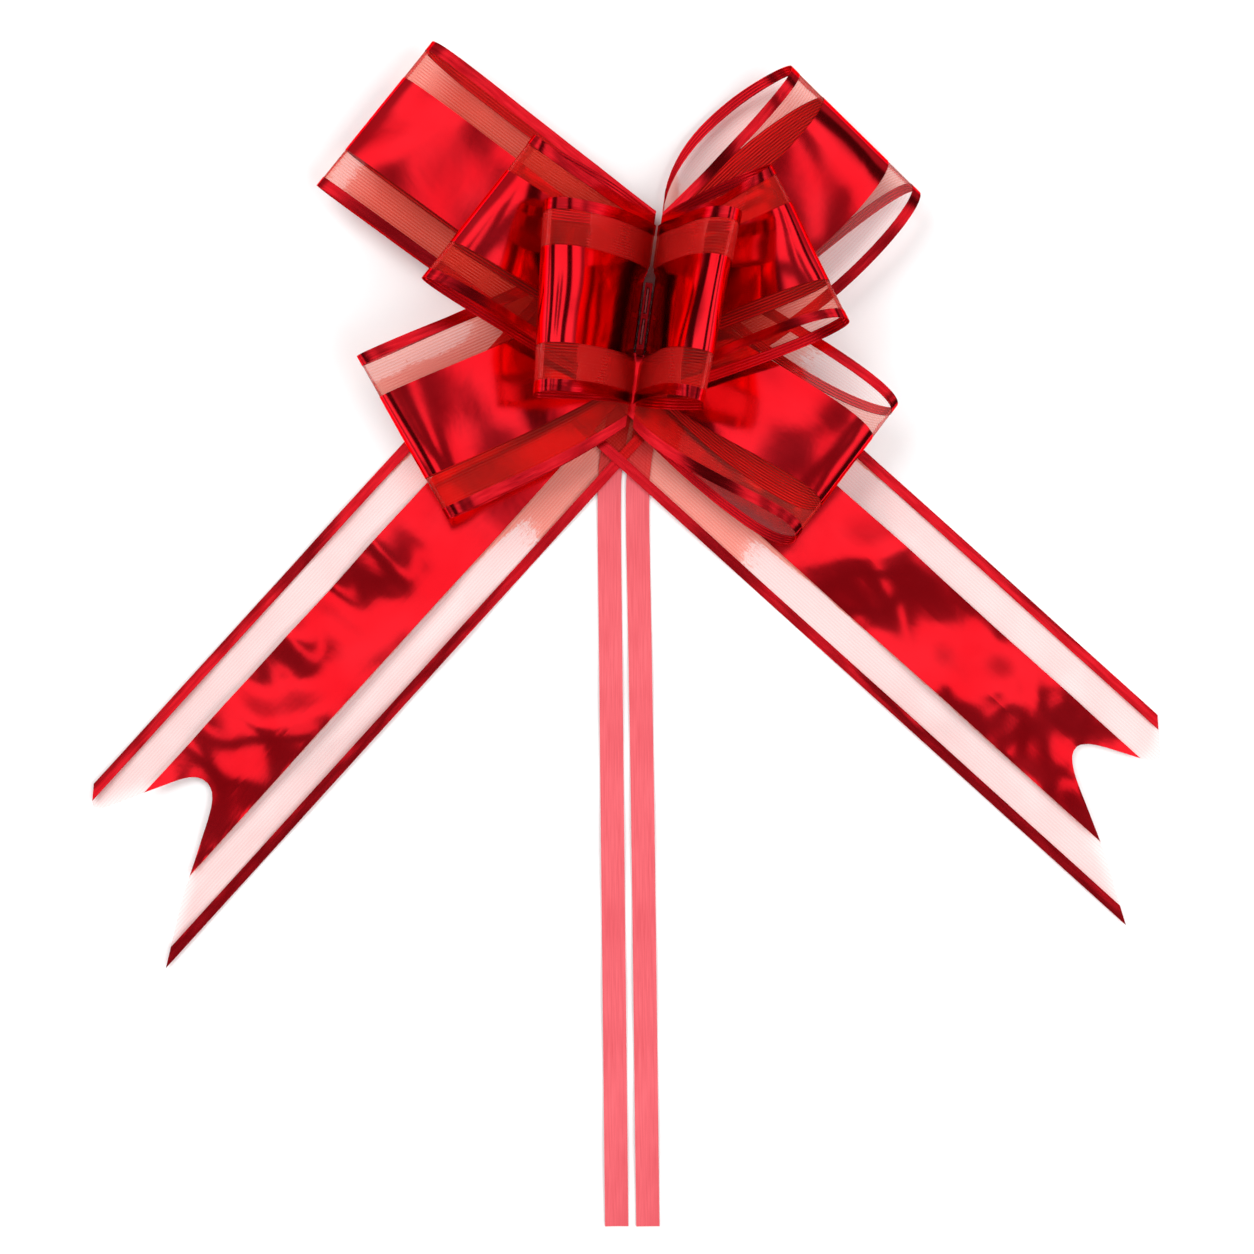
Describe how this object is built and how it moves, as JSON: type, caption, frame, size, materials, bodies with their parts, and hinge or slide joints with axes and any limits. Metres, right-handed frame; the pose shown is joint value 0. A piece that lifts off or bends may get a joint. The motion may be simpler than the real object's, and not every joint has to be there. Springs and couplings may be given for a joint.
{
  "type": "gift bow",
  "caption": "Gathered pull bow of wide clear-and-foil ribbon with loops in tiers, fishtail ends and flat pull strings.",
  "frame": {"origin": "bottom centre of the bow's box, without the free pull strings, on the table it lies on", "axes": "+X across the two tails, towards the right one; +Y towards the upper loops, away from the strings; +Z off the table, towards the front loops"},
  "size_m": [0.3012, 0.3319, 0.0598],
  "materials": {
    "ribbon_film": "clear ribbed film, tinted red",
    "foil_band": "mirror-like metallised red foil",
    "edge_stripe": "satin metallised red",
    "heat_seam": "melted film",
    "pull_string": "satin film tape"
  },
  "bodies": {
    "back_seam": {"seam_5": "heat_seam", "tail_root_left": "ribbon_film", "foil_tail_root_left": "foil_band", "upper_edge_tail_root_left": "edge_stripe", "lower_edge_tail_root_left": "edge_stripe", "tail_root_right": "ribbon_film", "foil_tail_root_right": "foil_band", "upper_edge_tail_root_right": "edge_stripe", "lower_edge_tail_root_right": "edge_stripe"},
    "seam_four": {"seam_4": "heat_seam"},
    "seam_three": {"seam_3": "heat_seam"},
    "seam_two": {"seam_2": "heat_seam"},
    "front_seam": {"seam_1": "heat_seam", "string_core_left": "pull_string", "string_core_right": "pull_string"},
    "string_left": {"pull_string_left": "pull_string"},
    "string_right": {"pull_string_right": "pull_string"},
    "front_loop_left": {"loop_front_left": "ribbon_film", "foil_front_left": "foil_band", "upper_edge_front_left": "edge_stripe", "lower_edge_front_left": "edge_stripe"},
    "front_loop_right": {"loop_front_right": "ribbon_film", "foil_front_right": "foil_band", "upper_edge_front_right": "edge_stripe", "lower_edge_front_right": "edge_stripe"},
    "middle_loop_left": {"loop_middle_left": "ribbon_film", "foil_middle_left": "foil_band", "upper_edge_middle_left": "edge_stripe", "lower_edge_middle_left": "edge_stripe"},
    "middle_loop_right": {"loop_middle_right": "ribbon_film", "foil_middle_right": "foil_band", "upper_edge_middle_right": "edge_stripe", "lower_edge_middle_right": "edge_stripe"},
    "lower_loop_left": {"loop_lower_left": "ribbon_film", "foil_lower_left": "foil_band", "upper_edge_lower_left": "edge_stripe", "lower_edge_lower_left": "edge_stripe"},
    "lower_loop_right": {"loop_lower_right": "ribbon_film", "foil_lower_right": "foil_band", "upper_edge_lower_right": "edge_stripe", "lower_edge_lower_right": "edge_stripe"},
    "upper_loop_left": {"loop_upper_left": "ribbon_film", "foil_upper_left": "foil_band", "upper_edge_upper_left": "edge_stripe", "lower_edge_upper_left": "edge_stripe"},
    "upper_loop_right": {"loop_upper_right": "ribbon_film", "foil_upper_right": "foil_band", "upper_edge_upper_right": "edge_stripe", "lower_edge_upper_right": "edge_stripe"},
    "tail_left": {"tail_left": "ribbon_film", "foil_tail_left": "foil_band", "upper_edge_tail_left": "edge_stripe", "lower_edge_tail_left": "edge_stripe"},
    "tail_right": {"tail_right": "ribbon_film", "foil_tail_right": "foil_band", "upper_edge_tail_right": "edge_stripe", "lower_edge_tail_right": "edge_stripe"}
  },
  "joints": [
    {"name": "string_left_slide", "type": "slide", "parent": "back_seam", "child": "string_left", "axis": [0, 1, 0], "range_m": [0, 0.006]},
    {"name": "string_right_slide", "type": "slide", "parent": "back_seam", "child": "string_right", "axis": [0, 1, 0], "range_m": [0, 0.006]},
    {"name": "seam_four_slide", "type": "slide", "parent": "back_seam", "child": "seam_four", "axis": [0, 0, 1], "range_m": [0, 0.0015]},
    {"name": "seam_three_slide", "type": "slide", "parent": "seam_four", "child": "seam_three", "axis": [0, 0, 1], "range_m": [0, 0.0015]},
    {"name": "seam_two_slide", "type": "slide", "parent": "seam_three", "child": "seam_two", "axis": [0, 0, 1], "range_m": [0, 0.0015]},
    {"name": "front_seam_slide", "type": "slide", "parent": "seam_two", "child": "front_seam", "axis": [0, 0, 1], "range_m": [0, 0.0015]},
    {"name": "front_loop_left_lift", "type": "hinge", "parent": "seam_two", "child": "front_loop_left", "pos_m": [0.0052, 0.0523, 0.0143], "axis": [0.1392, 0.9903, 0], "range_deg": [0, 3]},
    {"name": "front_loop_right_lift", "type": "hinge", "parent": "seam_two", "child": "front_loop_right", "pos_m": [0.0052, 0.0523, 0.0143], "axis": [-0.1392, -0.9903, 0], "range_deg": [0, 3]},
    {"name": "middle_loop_left_lift", "type": "hinge", "parent": "seam_three", "child": "middle_loop_left", "pos_m": [0.0052, 0.0523, 0.0113], "axis": [0.1392, 0.9903, 0], "range_deg": [0, 3]},
    {"name": "middle_loop_right_lift", "type": "hinge", "parent": "seam_three", "child": "middle_loop_right", "pos_m": [0.0052, 0.0523, 0.0113], "axis": [-0.1392, -0.9903, 0], "range_deg": [0, 3]},
    {"name": "lower_loop_left_lift", "type": "hinge", "parent": "seam_four", "child": "lower_loop_left", "pos_m": [0.0052, 0.0523, 0.0083], "axis": [0.1392, 0.9903, 0], "range_deg": [0, 4]},
    {"name": "lower_loop_right_lift", "type": "hinge", "parent": "seam_four", "child": "lower_loop_right", "pos_m": [0.0052, 0.0523, 0.0083], "axis": [-0.1392, -0.9903, 0], "range_deg": [0, 4]},
    {"name": "upper_loop_left_lift", "type": "hinge", "parent": "back_seam", "child": "upper_loop_left", "pos_m": [0.0052, 0.0523, 0.0053], "axis": [0.1392, 0.9903, 0], "range_deg": [0, 2]},
    {"name": "upper_loop_right_lift", "type": "hinge", "parent": "back_seam", "child": "upper_loop_right", "pos_m": [0.0052, 0.0523, 0.0053], "axis": [-0.1392, -0.9903, 0], "range_deg": [0, 2]},
    {"name": "tail_left_lift", "type": "hinge", "parent": "back_seam", "child": "tail_left", "pos_m": [-0.05298, -0.00766, 0], "axis": [-0.7408, 0.6717, 0], "range_deg": [0, 60]},
    {"name": "tail_right_lift", "type": "hinge", "parent": "back_seam", "child": "tail_right", "pos_m": [0.05954, -0.00989, 0], "axis": [-0.6704, -0.742, 0], "range_deg": [0, 60]}
  ],
  "couplings": [
    {"joint": "string_right_slide", "follows": "string_left_slide", "ratio": 1},
    {"joint": "seam_four_slide", "follows": "string_left_slide", "ratio": 0.25},
    {"joint": "seam_three_slide", "follows": "string_left_slide", "ratio": 0.25},
    {"joint": "seam_two_slide", "follows": "string_left_slide", "ratio": 0.25},
    {"joint": "front_seam_slide", "follows": "string_left_slide", "ratio": 0.25}
  ]
}
